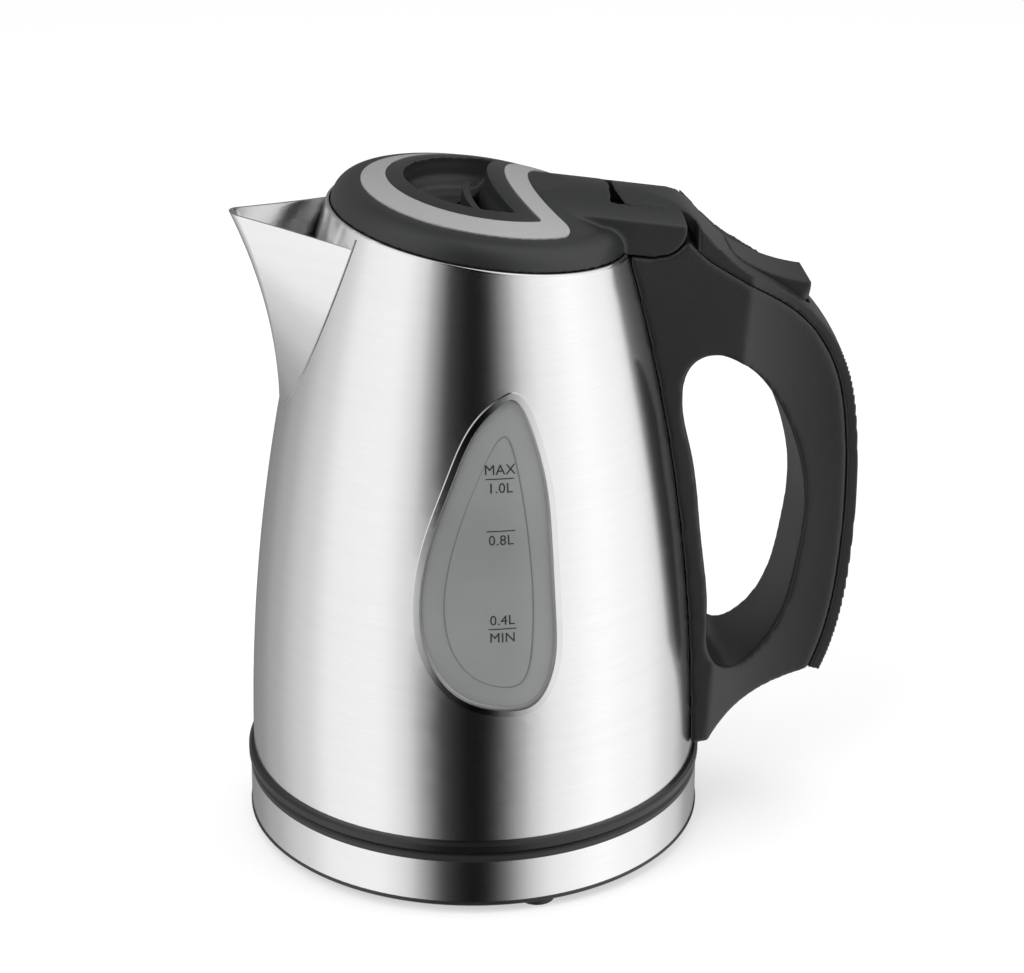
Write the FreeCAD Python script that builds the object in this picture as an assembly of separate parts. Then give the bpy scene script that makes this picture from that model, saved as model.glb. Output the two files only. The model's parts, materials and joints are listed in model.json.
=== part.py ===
import FreeCAD, Part

import math
import os

# Stainless electric kettle on a power base. Millimetres, +Z up, spout towards -X, handle towards +X.
# The origin is on the axis of the base's connector, in the plane that the feet stand on.

# ---- power base ----
FOOT_HEIGHT = 2.5
FOOT_R = 5.5
FOOT_PCD_R = 64.5
FOOT_COUNT = 4
FOOT_PEG_R = 2.5
FOOT_FIRST_DEG = -79.0
PLATE_T = 1.5
PLATE_OVERHANG = 0.3
BASE_R = 72.0
BAND_H = 14.1
BAND_T = 0.5
BASE_WALL = 2.0
BASE_RIM_H = 2.4
BASE_RIM_W = 6.0
BASE_DISH = 3.0
BOSS_R = 4.0
BOSS_PCD_R = 54.0
BOSS_COUNT = 3
SCREW_R = 1.5
SCREW_HEAD_R = 2.8
SCREW_HEAD_H = 1.4
GLAND_BORE_R = 3.5
GLAND_R = 4.9
GLAND_FLANGE_R = 5.6
GLAND_DEG = 60.0

# ---- connector between base and jug ----
POST_R = 17.0
POST_TOP_ABOVE_RIM = 11.0
SOCKET_FLANGE_R = 24.0
PIN_R = 2.6
PIN_BORE_R = 3.2
BLADE_MID_R = 10.2
BLADE_T = 0.8
BLADE_ROOT = 2.5
BLADE_SLOT_W = 2.4
CONTACT_W = 4.0
CONTACT_T = 1.0
POST_CLEAR = 0.6
RING_T = 2.4
RING_W = 4.6
SEAT_GAP = 0.3

# ---- jug ----
SKIRT_H = 3.8
SKIRT_R = 72.6
SHELL_R = 70.95
SHELL_BULGE_R = 645.0
SHELL_T = 0.8
RIM_Z = 200.1
RIM_SLOPE = 0.157
RIM_BEAD_R = 0.75
BASE_FLOOR_T = 2.0
PLATE_TOP_Z = 64.8
HEAT_PLATE_T = 1.6
SPREADER_R = 50.0
SPREADER_T = 2.5
ELEMENT_R = 38.0
ELEMENT_WIRE_R = 3.3
SEAL_W = 1.4
CONTROL_R = 21.0
CONTROL_H = 14.0
PIN_HEAD = 5.0
JUG_SCREW_PCD_R = 56.0
JUG_SCREW_FIRST_DEG = 60.0

# ---- window ----
BEZEL_W = 1.8
BEZEL_PROUD = 1.2
LENS_INSET = 0.3
LENS_T = 2.0

# ---- spout ----
SPOUT_T = 0.8
SPOUT_NOSE_R = 5.0
SPOUT_ROOT_Z = 143.0
SPOUT_TIP_Z = 206.3
SPOUT_REACH = 28.9
SPOUT_HALF_W = 25.4
SPOUT_MOUTH_DROP = 5.3
SPOUT_SECTIONS = 15
SPOUT_TUCK = 1.5
SPOUT_BACK = 16.0

# ---- lid, in a frame tilted with the rim ----
LID_R = 45.9
LID_LIFT = 0.4
LID_DOME_R = 107.0
LID_CROWN = 15.3
LID_SHOULDER_R = 38.6
LID_T = 2.4
LID_SKIRT_R = 42.6
LID_SKIRT_T = 1.8
LID_SKIRT_DEPTH = 9.0
BRIDGE_TOP = 16.3
BRIDGE_CROWN_R = 32.0
COLLAR_OUT_R = 45.5
COLLAR_IN_R = 44.0
COLLAR_DEPTH = 12.0
COLLAR_LEDGE_R = 40.6
COLLAR_LEDGE_T = 1.6
LID_SEAL_T = 1.2
INLAY_R = 37.6
INLAY_W = 7.2
INLAY_DEPTH = 0.8
INLAY_STEP = 0.15
INLAY_TIP_R = 5.0
BITE_R = 39.0
BITE_X = 52.0
WELL_INSET = 5.4
WELL_FLOOR_H = 1.6
WELL_WALL = 1.6
LATCH_TRAVEL = 3.0
LATCH_T = 1.6
LATCH_W = 14.0
BOLT_W = 8.0
TAB_T = 2.2
TAB_HALF_W = 13.0

# ---- lid hinge ----
HINGE_X = 55.0
HINGE_Z = 200.7
EAR_R = 8.2
EAR_IN_Y = 11.0
EAR_OUT_Y = 17.6
HINGE_PIN_R = 2.0
PIN_COVER = 1.2
PIN_CLEAR = 0.05
SWEEP_R = 16.2
NOTCH_DEPTH = 4.6
EAR_GAP = 0.5
LUG_HALF_W = 10.6

# ---- handle ----
PAD_HALF_W_LOW = 24.5
PAD_HALF_W_TOP = 17.9
GRIP_HALF_W = 15.0
COVER_T = 4.0
TRENCH_HALF_W = 8.0
TRENCH_DEPTH = 8.2
LEAD_R = 1.1
LEAD_PITCH = 3.0
LEAD_DEPTH = 3.8
STEAM_TUBE_END = 71.8

# ---- on/off rocker ----
ROCKER_X = 87.0
ROCKER_Z = 178.2
ROCKER_SLOPE_DEG = 35.0
ROCKER_FRONT_L = 13.0
ROCKER_REAR_L = 16.5
ROCKER_LEAN = 3.3
ROCKER_LIP_H = 5.0
ROCKER_REAR_H = 10.4
ROCKER_FRONT_H = 4.8
ROCKER_HALF_W = 9.0
ROCKER_GAP = 0.4
ROCKER_DISH = 1.6
ROCKER_PIN_R = 1.5
ROCKER_DEG = 10.0
BAY_HALF_W = 11.4
BAY_DEPTH = 14.0

# ---- derived levels ----
PLATE_Z = FOOT_HEIGHT
BAND_Z = PLATE_Z + PLATE_T
BAND_TOP = BAND_Z + BAND_H
BASE_TOP = BAND_TOP + BASE_RIM_H
DISH_Z = BASE_TOP - BASE_DISH
SKIRT_Z = BASE_TOP + SEAT_GAP
SHELL_Z = SKIRT_Z + SKIRT_H
POST_TOP = BASE_TOP + POST_TOP_ABOVE_RIM
LID_TILT = math.atan(RIM_SLOPE)
LID_X = 2.0
LID_Z = RIM_Z - RIM_SLOPE * LID_X
LATCH_Z = -LATCH_T - 1.0
ROCKER_SWEEP = math.hypot(ROCKER_REAR_L, ROCKER_LIP_H)
CONNECTOR_ROOF = POST_TOP + 1.2
SPREADER_Z = PLATE_TOP_Z - HEAT_PLATE_T - SPREADER_T


def vec(x, y, z):
    return FreeCAD.Vector(x, y, z)


def save(shape, node):
    shape.exportStep("parts/" + node + ".step")


def cyl(r, z0, z1, x=0.0, y=0.0):
    return Part.makeCylinder(r, z1 - z0, vec(x, y, z0))


def tube(r_out, r_in, z0, z1):
    return cyl(r_out, z0, z1).cut(cyl(r_in, z0 - 1, z1 + 1))


def box(x0, x1, y0, y1, z0, z1):
    return Part.makeBox(x1 - x0, y1 - y0, z1 - z0, vec(x0, y0, z0))


def y_cyl(r, y0, y1, x, z):
    return Part.makeCylinder(r, y1 - y0, vec(x, y0, z), vec(0, 1, 0))


def revolve(points):
    """Full turn about Z of a closed outline of (r, z) corners."""
    corners = [vec(r, 0, z) for r, z in points]
    face = Part.Face(Part.makePolygon(corners + corners[:1]))
    return face.revolve(vec(0, 0, 0), vec(0, 0, 1), 360)


def revolve_edges(edges):
    return Part.Face(Part.Wire(edges)).revolve(vec(0, 0, 0), vec(0, 0, 1), 360)


def line(a, b):
    return Part.LineSegment(a, b).toShape()


def arc(a, b, c):
    return Part.Arc(a, b, c).toShape()


def spline(points):
    curve = Part.BSplineCurve()
    curve.interpolate(points)
    return curve.toShape()


def closed_spline(points):
    curve = Part.BSplineCurve()
    curve.interpolate(points, True)
    return curve.toShape()


def xz(points):
    return [vec(x, 0, z) for x, z in points]


def extrude_y(edges, half):
    """Solid with an outline in XZ, reaching from -half to +half in Y."""
    face = Part.Face(Part.Wire(edges))
    face.translate(vec(0, -half, 0))
    return face.extrude(vec(0, 2 * half, 0))


def offset_xz(points, distance):
    """Points moved to the left of the direction of travel by distance."""
    moved = []
    for i, (x, z) in enumerate(points):
        ax, az = points[max(i - 1, 0)]
        bx, bz = points[min(i + 1, len(points) - 1)]
        length = math.hypot(bx - ax, bz - az)
        moved.append((x - (bz - az) / length * distance, z + (bx - ax) / length * distance))
    return moved


def around(count, radius, first_deg=0.0):
    for i in range(count):
        a = math.radians(first_deg + 360.0 * i / count)
        yield radius * math.cos(a), radius * math.sin(a), math.degrees(a)


def to_lid(shape):
    """Moves a shape from the lid's own frame to its place on the tilted rim."""
    placed = shape.copy()
    turn = FreeCAD.Rotation(vec(0, 1, 0), math.degrees(LID_TILT))
    placed.Placement = FreeCAD.Placement(vec(LID_X, 0, LID_Z), turn).multiply(placed.Placement)
    return placed


def in_lid(x, z):
    """Position in the lid's frame of a point (x, z) of the part's frame."""
    dx, dz = x - LID_X, z - LID_Z
    c, s = math.cos(LID_TILT), math.sin(LID_TILT)
    return dx * c - dz * s, dx * s + dz * c


def shell_radius(z):
    """Outer radius of the jug's shell: one large arc, upright at the bottom."""
    return SHELL_R - SHELL_BULGE_R + math.sqrt(SHELL_BULGE_R ** 2 - (z - SHELL_Z) ** 2)


# ---------------------------------------------------------------- power base
def gland_turn(shape):
    turned = shape.copy()
    turned.rotate(vec(0, 0, 0), vec(0, 0, 1), GLAND_DEG)
    return turned


def gland_z():
    return BAND_Z + GLAND_FLANGE_R + 0.05


def gland_hole(radius):
    return gland_turn(Part.makeCylinder(radius, 30, vec(BASE_R - 18, 0, gland_z()), vec(1, 0, 0)))


def base_feet():
    feet = []
    for x, y, _ in around(FOOT_COUNT, FOOT_PCD_R, FOOT_FIRST_DEG):
        feet.append(cyl(FOOT_R, 0, PLATE_Z, x, y).fuse(cyl(FOOT_PEG_R, 0, BAND_Z + 1.0, x, y)))
    return Part.makeCompound(feet)


def base_bottom_plate():
    rim_r = BASE_R + PLATE_OVERHANG
    plate = revolve([(0, PLATE_Z), (rim_r - 0.8, PLATE_Z), (rim_r, PLATE_Z + 0.8), (rim_r, BAND_Z), (0, BAND_Z)])
    for x, y, _ in around(FOOT_COUNT, FOOT_PCD_R, FOOT_FIRST_DEG):
        plate = plate.cut(cyl(FOOT_PEG_R, PLATE_Z - 1, BAND_Z + 1, x, y))
    for x, y, _ in around(BOSS_COUNT, BOSS_PCD_R):
        plate = plate.cut(cyl(SCREW_R + 0.2, PLATE_Z - 1, BAND_Z + 1, x, y))
    return plate


def base_trim_band():
    return tube(BASE_R, BASE_R - BAND_T, BAND_Z, BAND_TOP).cut(gland_hole(GLAND_R))


def base_cover():
    wall_r = BASE_R - BAND_T
    inner_r = BASE_R - BASE_RIM_W
    hole_r = POST_R + 0.2
    cover = revolve([
        (hole_r, DISH_Z - BASE_WALL), (wall_r - BASE_WALL, DISH_Z - BASE_WALL), (wall_r - BASE_WALL, BAND_Z),
        (wall_r, BAND_Z), (wall_r, BAND_TOP), (BASE_R, BAND_TOP), (BASE_R, BASE_TOP - 1.0), (BASE_R - 1.0, BASE_TOP),
        (inner_r, BASE_TOP), (inner_r - 4, DISH_Z), (hole_r, DISH_Z)])
    for x, y, _ in around(BOSS_COUNT, BOSS_PCD_R):
        boss = cyl(BOSS_R, BAND_Z, DISH_Z - BASE_WALL / 2, x, y)
        boss = boss.cut(cyl(SCREW_R, BAND_Z - 1, DISH_Z - BASE_WALL, x, y))
        cover = cover.fuse(boss)
    return cover.cut(gland_hole(GLAND_R)).removeSplitter()


def base_screws():
    screws = []
    for x, y, _ in around(BOSS_COUNT, BOSS_PCD_R):
        head = cyl(SCREW_HEAD_R, PLATE_Z - SCREW_HEAD_H, PLATE_Z, x, y)
        screws.append(head.fuse(cyl(SCREW_R, PLATE_Z - 0.5, DISH_Z - BASE_WALL - 1, x, y)))
    return Part.makeCompound(screws)


def cord_gland():
    """Bush in the base's wall with an open bore, where a mains cord would enter."""
    body = Part.makeCylinder(GLAND_R, 6, vec(BASE_R - 6, 0, 0), vec(1, 0, 0))
    inner = Part.makeCylinder(GLAND_FLANGE_R, 2, vec(BASE_R - BAND_T - BASE_WALL - 2.5, 0, 0), vec(1, 0, 0))
    bore = Part.makeCylinder(GLAND_BORE_R, 30, vec(BASE_R - 20, 0, 0), vec(1, 0, 0))
    gland = body.fuse(inner).cut(bore).removeSplitter()
    limit = cyl(BASE_R - 0.05, -50, 50)
    gland = gland.common(limit)
    gland.translate(vec(0, 0, gland_z()))
    return gland_turn(gland)


def blade_slot():
    r_in = BLADE_MID_R - BLADE_SLOT_W / 2
    r_out = BLADE_MID_R + BLADE_SLOT_W / 2
    return tube(r_out, r_in, DISH_Z, POST_TOP + 1)


def contact_blocks(grow):
    """Two spring contacts beside the blade's slot and one beside the earth pin's bore."""
    blocks = []
    spots = ((BLADE_MID_R + BLADE_SLOT_W / 2 + 0.1, 20.0), (BLADE_MID_R + BLADE_SLOT_W / 2 + 0.1, 200.0),
             (PIN_BORE_R + 0.1, 110.0))
    for r, deg in spots:
        block = box(r - grow, r + CONTACT_T + grow, -CONTACT_W / 2 - grow, CONTACT_W / 2 + grow,
                    DISH_Z + 1 - grow, POST_TOP - 3 + grow)
        block.rotate(vec(0, 0, 0), vec(0, 0, 1), deg)
        blocks.append(block)
    return blocks


def base_socket():
    flange_z = DISH_Z - BASE_WALL - 2.5
    body = revolve([(0, flange_z - 4), (SOCKET_FLANGE_R - 4, flange_z - 4), (SOCKET_FLANGE_R - 4, flange_z),
                    (SOCKET_FLANGE_R, flange_z), (SOCKET_FLANGE_R, DISH_Z - BASE_WALL), (POST_R, DISH_Z - BASE_WALL),
                    (POST_R, POST_TOP - 1.5), (POST_R - 1.5, POST_TOP), (0, POST_TOP)])
    body = body.cut(blade_slot()).cut(cyl(PIN_BORE_R, DISH_Z - 1, POST_TOP + 1))
    for block in contact_blocks(0.1):
        body = body.cut(block)
    return body


def socket_turn_ring():
    """Loose ring round the socket's post that turns with the jug."""
    r_in = POST_R + SEAT_GAP
    z0 = DISH_Z + SEAT_GAP
    return revolve([(r_in, z0), (r_in + RING_W, z0), (r_in + RING_W, z0 + RING_T - 0.5),
                    (r_in + RING_W - 0.5, z0 + RING_T), (r_in, z0 + RING_T)])


# ---------------------------------------------------------------- jug: shell, window, spout
def shell_body(inset, z0, z1):
    """Solid of the jug's round form, inset from the outer face, from z0 up to z1."""
    low, mid, high = z0, (z0 + z1) / 2, z1
    side = arc(vec(shell_radius(low) - inset, 0, low), vec(shell_radius(mid) - inset, 0, mid),
               vec(shell_radius(high) - inset, 0, high))
    return revolve_edges([line(vec(0, 0, low), vec(shell_radius(low) - inset, 0, low)), side,
                          line(vec(shell_radius(high) - inset, 0, high), vec(0, 0, high)),
                          line(vec(0, 0, high), vec(0, 0, low))])


def above_rim():
    """Everything over the tilted rim plane."""
    return to_lid(box(-150, 150, -150, 150, 0, 150))


WINDOW_OUTLINE = [(3.4, 165.6), (-6.5, 157.7), (-14.8, 141.0), (-22.0, 121.3), (-25.4, 100.0), (-22.9, 84.5),
                  (-13.7, 72.2), (-0.2, 67.4), (11.1, 68.6), (17.4, 77.7), (19.1, 98.0), (17.9, 126.8), (12.9, 154.4)]


def window_prism(inset):
    """The window's outline run through the jug's near wall, drawn in by inset."""
    count = len(WINDOW_OUTLINE)
    points = []
    for i, (x, z) in enumerate(WINDOW_OUTLINE):
        ax, az = WINDOW_OUTLINE[i - 1]
        bx, bz = WINDOW_OUTLINE[(i + 1) % count]
        length = math.hypot(bx - ax, bz - az)
        points.append(vec(x + (bz - az) / length * -inset, -100, z + (bx - ax) / length * inset))
    face = Part.Face(Part.Wire([closed_spline(points)]))
    return face.extrude(vec(0, 70, 0))


def wall_layer(outside, inside):
    """A layer of the round form from outside above the outer face to inside below it."""
    return shell_body(-outside, SHELL_Z + 5, RIM_Z - 20).cut(shell_body(inside, SHELL_Z + 4, RIM_Z - 19))


def window_bezel():
    ring = window_prism(0).cut(window_prism(BEZEL_W))
    return ring.common(wall_layer(BEZEL_PROUD, SHELL_T))


def window_seal():
    ring = window_prism(-1.5).cut(window_prism(BEZEL_W + 0.8))
    return ring.common(wall_layer(-SHELL_T, SHELL_T + 1.5))


def window_lens():
    flange = window_prism(-1.5).common(wall_layer(-SHELL_T - 1.5, SHELL_T + 1.5 + LENS_T))
    dome = window_prism(BEZEL_W + 0.8).common(wall_layer(-LENS_INSET, SHELL_T + 1.5 + LENS_T))
    return flange.fuse(dome).removeSplitter()


def spout_level(t):
    """Height, nose, and seam point of the beak at a share t of the way up from its root to its tip."""
    z = SPOUT_ROOT_Z + t * (SPOUT_TIP_Z - SPOUT_ROOT_Z)
    seam_y = SPOUT_HALF_W * math.sqrt(1 - abs(1 - t) ** 2.2)
    seam_x = math.sqrt(shell_radius(z) ** 2 - seam_y ** 2)
    nose_x = -shell_radius(z) - SPOUT_REACH * (0.4 * t + 0.6 * t * t)
    return z, nose_x, seam_x, seam_y


def spout_section(level, inset):
    """Closed outline of the beak at one height: straight flanks, a rounded nose, and a back inside the jug."""
    z, nose_x, seam_x, seam_y = level
    half_angle = math.atan2(seam_y, -seam_x - nose_x)
    c, s = math.cos(half_angle), math.sin(half_angle)
    r = SPOUT_NOSE_R - inset
    touch_x = nose_x + SPOUT_NOSE_R - r * s
    touch_y = r * c
    end_y = seam_y - inset * c + SPOUT_TUCK * s
    end_x = -seam_x + inset * s + SPOUT_TUCK * c
    back_x = -seam_x + SPOUT_BACK
    nose = arc(vec(touch_x, -touch_y, z), vec(nose_x + inset, 0, z), vec(touch_x, touch_y, z))
    corners = [vec(touch_x, touch_y, z), vec(end_x, end_y, z), vec(back_x, end_y, z), vec(back_x, -end_y, z),
               vec(end_x, -end_y, z), vec(touch_x, -touch_y, z)]
    return Part.Wire([nose] + [line(a, b) for a, b in zip(corners, corners[1:])])


def spout_body(inset):
    shares = [0.03 + 0.99 * i / (SPOUT_SECTIONS - 1) for i in range(SPOUT_SECTIONS)]
    return Part.makeLoft([spout_section(spout_level(t), inset) for t in shares], True, True)


def spout_top_cut():
    """The spout's mouth: everything above the plane from the beak's tip down to the seam's top corners."""
    _, tip_x, seam_x, _ = spout_level(1.0)
    slope = -SPOUT_MOUTH_DROP / (-seam_x - tip_x)
    front_x, back_x = tip_x - 20, -20.0
    corners = xz([(front_x, SPOUT_TIP_Z - 20 * slope), (back_x, SPOUT_TIP_Z + (back_x - tip_x) * slope),
                  (back_x, SPOUT_TIP_Z + 40), (front_x, SPOUT_TIP_Z + 40)])
    return extrude_y([line(a, b) for a, b in zip(corners, corners[1:] + corners[:1])], 60)


def spout():
    sheet = spout_body(0).cut(spout_body(SPOUT_T))
    return sheet.cut(shell_body(0, SHELL_Z, RIM_Z + 20)).cut(spout_top_cut())


def spout_opening():
    """Hole in the shell behind the spout, below the neck collar."""
    hole = closed_spline([vec(-100, 0, 158), vec(-100, 13, 166), vec(-100, 15, 184), vec(-100, 0, 190),
                          vec(-100, -15, 184), vec(-100, -13, 166)])
    return Part.Face(Part.Wire([hole])).extrude(vec(80, 0, 0))


def body_shell():
    shell = shell_body(0, SHELL_Z, RIM_Z + 12).cut(shell_body(SHELL_T, SHELL_Z - 0.01, RIM_Z + 13))
    shell = shell.cut(above_rim()).cut(window_prism(0)).cut(spout_opening())
    return shell.cut(steam_port(4.0))


def spout_filter():
    """Curved strainer plate with slots, clipped inside the shell behind the spout."""
    plate = box(-60, -30, -18, 18, 155, 191).common(
        shell_body(SHELL_T, SHELL_Z + 5, RIM_Z + 10).cut(shell_body(SHELL_T + 1.2, SHELL_Z + 4, RIM_Z + 11)))
    for row in range(6):
        z = 162.0 + row * 4.6
        for column in range(3):
            y = (column - 1) * 8.4
            plate = plate.cut(box(-70, -30, y - 3.2, y + 3.2, z - 0.9, z + 0.9))
    return plate


# ---------------------------------------------------------------- jug: base, heater, connector
def jug_base_cover():
    recess_r = POST_R + POST_CLEAR + RING_W + 2.2
    roof_z = POST_TOP + 3.0
    inner_r = SHELL_R - SHELL_T - 0.1
    cover = revolve([
        (recess_r, SKIRT_Z + 0.0), (SKIRT_R - 1.0, SKIRT_Z), (SKIRT_R, SKIRT_Z + 1.0), (SKIRT_R, SHELL_Z - 0.8),
        (SKIRT_R - 0.8, SHELL_Z), (inner_r, SHELL_Z), (inner_r - 0.2, SHELL_Z + 6), (inner_r - 2.2, SHELL_Z + 6),
        (inner_r - 2.2, SKIRT_Z + BASE_FLOOR_T), (recess_r + 2, SKIRT_Z + BASE_FLOOR_T), (recess_r + 2, roof_z),
        (recess_r, roof_z)])
    for x, y, _ in around(BOSS_COUNT, JUG_SCREW_PCD_R, JUG_SCREW_FIRST_DEG):
        cover = cover.fuse(cyl(3.6, SKIRT_Z + BASE_FLOOR_T / 2, SHELL_Z + 28, x, y))
        cover = cover.cut(cyl(SCREW_R, SKIRT_Z - 1, SHELL_Z + 27, x, y))
        cover = cover.cut(cyl(SCREW_HEAD_R + 0.2, SKIRT_Z - 1, SKIRT_Z + SCREW_HEAD_H, x, y))
    return cover.removeSplitter()


def jug_base_screws():
    screws = []
    for x, y, _ in around(BOSS_COUNT, JUG_SCREW_PCD_R, JUG_SCREW_FIRST_DEG):
        head = cyl(SCREW_HEAD_R, SKIRT_Z + 0.2, SKIRT_Z + SCREW_HEAD_H, x, y)
        screws.append(head.fuse(cyl(SCREW_R, SKIRT_Z + 0.5, SHELL_Z + 20, x, y)))
    return Part.makeCompound(screws)


def jug_connector():
    """Moulded ring that fits over the base's post, with the roof that carries the live parts."""
    r_in = POST_R + POST_CLEAR
    r_out = r_in + RING_W + 2.2
    roof_z = CONNECTOR_ROOF
    cup = revolve([(r_in, SKIRT_Z + 2.6), (r_in + 1.6, SKIRT_Z + 2.6), (r_in + 1.6, roof_z + 1.8),
                   (r_out, roof_z + 1.8), (r_out, roof_z + 4.0), (0, roof_z + 4.0), (0, roof_z), (r_in, roof_z)])
    slot_top = roof_z + BLADE_ROOT
    slot = tube(BLADE_MID_R + BLADE_T / 2, BLADE_MID_R - BLADE_T / 2, 0, slot_top).cut(cyl(100, slot_top, slot_top + 9))
    return cup.cut(cyl(PIN_R, 0, roof_z + PIN_HEAD)).cut(slot)


def connector_pins():
    """Earth pin and ring blade of the jug's half of the connector."""
    roof_z = CONNECTOR_ROOF
    pin = cyl(PIN_R, DISH_Z + 2, roof_z + PIN_HEAD)
    blade = tube(BLADE_MID_R + BLADE_T / 2, BLADE_MID_R - BLADE_T / 2, DISH_Z + 3, roof_z + BLADE_ROOT)
    return Part.makeCompound([pin, blade])


def control_thermostat():
    z0 = CONNECTOR_ROOF + PIN_HEAD
    body = cyl(CONTROL_R, z0, z0 + CONTROL_H)
    flat = box(-CONTROL_R * 2, CONTROL_R * 2, CONTROL_R * 0.8, CONTROL_R * 2, z0 - 1, z0 + CONTROL_H + 1)
    body = body.cut(flat).cut(flat.mirror(vec(0, 0, 0), vec(0, 1, 0)))
    for x, y, _ in around(3, CONTROL_R - 5, 90.0):
        body = body.fuse(cyl(3.0, z0 + CONTROL_H - 1, SPREADER_Z - 0.2, x, y))
    return body.removeSplitter()


def bimetal_disc():
    z0 = CONNECTOR_ROOF + PIN_HEAD + CONTROL_H
    return cyl(9.0, z0, z0 + 0.8).fuse(cyl(1.2, z0 + 0.5, SPREADER_Z - 0.2))


def heating_plate():
    r = shell_radius(PLATE_TOP_Z) - SHELL_T - SEAL_W
    return revolve([(0, PLATE_TOP_Z - HEAT_PLATE_T), (r - HEAT_PLATE_T, PLATE_TOP_Z - HEAT_PLATE_T),
                    (r - HEAT_PLATE_T, PLATE_TOP_Z - 8), (r, PLATE_TOP_Z - 8), (r, PLATE_TOP_Z - 1), (r - 1, PLATE_TOP_Z),
                    (0, PLATE_TOP_Z)])


def plate_seal():
    r_in = shell_radius(PLATE_TOP_Z) - SHELL_T - SEAL_W
    return tube(r_in + SEAL_W - 0.05, r_in, PLATE_TOP_Z - 8, PLATE_TOP_Z - 1.5)


def heat_spreader():
    z1 = PLATE_TOP_Z - HEAT_PLATE_T
    return cyl(SPREADER_R, z1 - SPREADER_T, z1)


def heating_element():
    """Sheathed tube element, most of a ring, brazed under the spreader."""
    z = SPREADER_Z - ELEMENT_WIRE_R
    circle = Part.Wire([Part.makeCircle(ELEMENT_WIRE_R, vec(ELEMENT_R, 0, z), vec(0, 1, 0))])
    ring = Part.Face(circle).revolve(vec(0, 0, 0), vec(0, 0, 1), 300)
    ring.rotate(vec(0, 0, 0), vec(0, 0, 1), 30)
    return ring


# ---------------------------------------------------------------- lid
def bite(radius, z0, z1):
    return cyl(radius, z0, z1, BITE_X, 0)


def crescent(inset, z0, z1):
    """Disc with a round bite on the handle side, drawn in evenly by inset."""
    blank = cyl(INLAY_R - inset, z0, z1).cut(bite(BITE_R + inset, z0 - 1, z1 + 1))
    upright = [e for e in blank.Edges if abs(e.Vertexes[0].Z - e.Vertexes[-1].Z) > 1]
    tips = [e for e in upright if abs(e.Vertexes[0].Y) > 5]
    return blank.makeFillet(INLAY_TIP_R - inset / 2, tips)


def dome(lift):
    """Solid below the lid's spherical top, raised by lift."""
    radius = LID_DOME_R
    return Part.makeSphere(radius, vec(0, 0, LID_CROWN - radius + lift)).common(cyl(LID_R + 5, -5, 40))


def lid_outer(inset):
    """The lid's domed form with its steep rounded shoulder, drawn in by inset."""
    drop = LID_DOME_R - math.sqrt(LID_DOME_R ** 2 - LID_SHOULDER_R ** 2)
    top_z = LID_CROWN - drop - inset
    r = LID_R - inset
    low = LID_LIFT
    shoulder = LID_SHOULDER_R - inset
    crown = LID_CROWN - inset
    mid_drop = LID_DOME_R - math.sqrt(LID_DOME_R ** 2 - (shoulder / 2) ** 2)
    edges = [line(vec(0, 0, low), vec(r, 0, low)),
             line(vec(r, 0, low), vec(r - 0.3, 0, low + 1.6)),
             arc(vec(r - 0.3, 0, low + 1.6), vec(r - 2.6, 0, top_z - 1.7), vec(shoulder, 0, top_z)),
             arc(vec(shoulder, 0, top_z), vec(shoulder / 2, 0, crown - mid_drop), vec(0, 0, crown)),
             line(vec(0, 0, crown), vec(0, 0, low))]
    return revolve_edges(edges)


def well_section(inset, z):
    """Closed outline of the finger well at one height, as a wire."""
    r = INLAY_R - INLAY_W - WELL_INSET - inset
    rb = BITE_R + INLAY_W + WELL_INSET + inset
    x = (r * r - rb * rb + BITE_X * BITE_X) / (2 * BITE_X)
    y = math.sqrt(r * r - x * x)
    return Part.Wire([arc(vec(x, y, z), vec(-r, 0, z), vec(x, -y, z)),
                      arc(vec(x, -y, z), vec(BITE_X - rb, 0, z), vec(x, y, z))])


def well_body(grow):
    """Bowl of the finger well, grown outwards by grow."""
    low = WELL_FLOOR_H - grow
    levels = [(7.0 - grow, low), (3.2 - grow, low + 1.6), (1.0 - grow, low + 5.0), (-grow, low + 9.0), (-grow, 30.0)]
    return Part.makeLoft([well_section(inset, z) for inset, z in levels], True, True)


def hinge_ears(grow, y_in, y_out):
    """Two rounded ears on the lid's handle side, either side of the handle's lug."""
    x0, z0 = in_lid(HINGE_X, HINGE_Z)
    r = EAR_R + grow
    ears = []
    for side in (-1, 1):
        y0 = min(side * y_in, side * y_out)
        disc = y_cyl(r, y0, y0 + (y_out - y_in), x0, z0)
        arm = box(x0 - 22, x0, y0, y0 + (y_out - y_in), min(z0 - r, LID_LIFT - grow), z0 + r)
        ears.append(disc.fuse(arm))
    return ears


def bridge_crown():
    """Long barrel whose top crowns the bridge, the hinge ears and the handle's tongue."""
    return Part.makeCylinder(BRIDGE_CROWN_R, 140, vec(-30, 0, BRIDGE_TOP - BRIDGE_CROWN_R), vec(1, 0, 0))


def lid_bridge():
    """Crowned bridge that carries the lid's top back to the hinge ears."""
    x0, _ = in_lid(HINGE_X, HINGE_Z)
    corners = xz([(BITE_X - BITE_R - 1.0, BRIDGE_TOP - 2.2), (x0 - 27, BRIDGE_TOP), (x0, BRIDGE_TOP), (x0, LID_LIFT),
                  (BITE_X - BITE_R - 1.0, LID_LIFT)])
    return extrude_y([line(a, b) for a, b in zip(corners, corners[1:] + corners[:1])], EAR_OUT_Y)


def tab_slot(grow, z0, z1):
    """Crescent slab of the latch's finger tab, and of the slot that it moves in."""
    r = BITE_R + INLAY_W + WELL_INSET + 1.2 + LATCH_TRAVEL
    slab = cyl(r + TAB_T + grow, z0, z1, BITE_X, 0).cut(cyl(r - grow, z0 - 1, z1 + 1, BITE_X, 0))
    return slab.common(box(-40, 20, -TAB_HALF_W - grow, TAB_HALF_W + grow, z0 - 1, z1 + 1))


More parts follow.
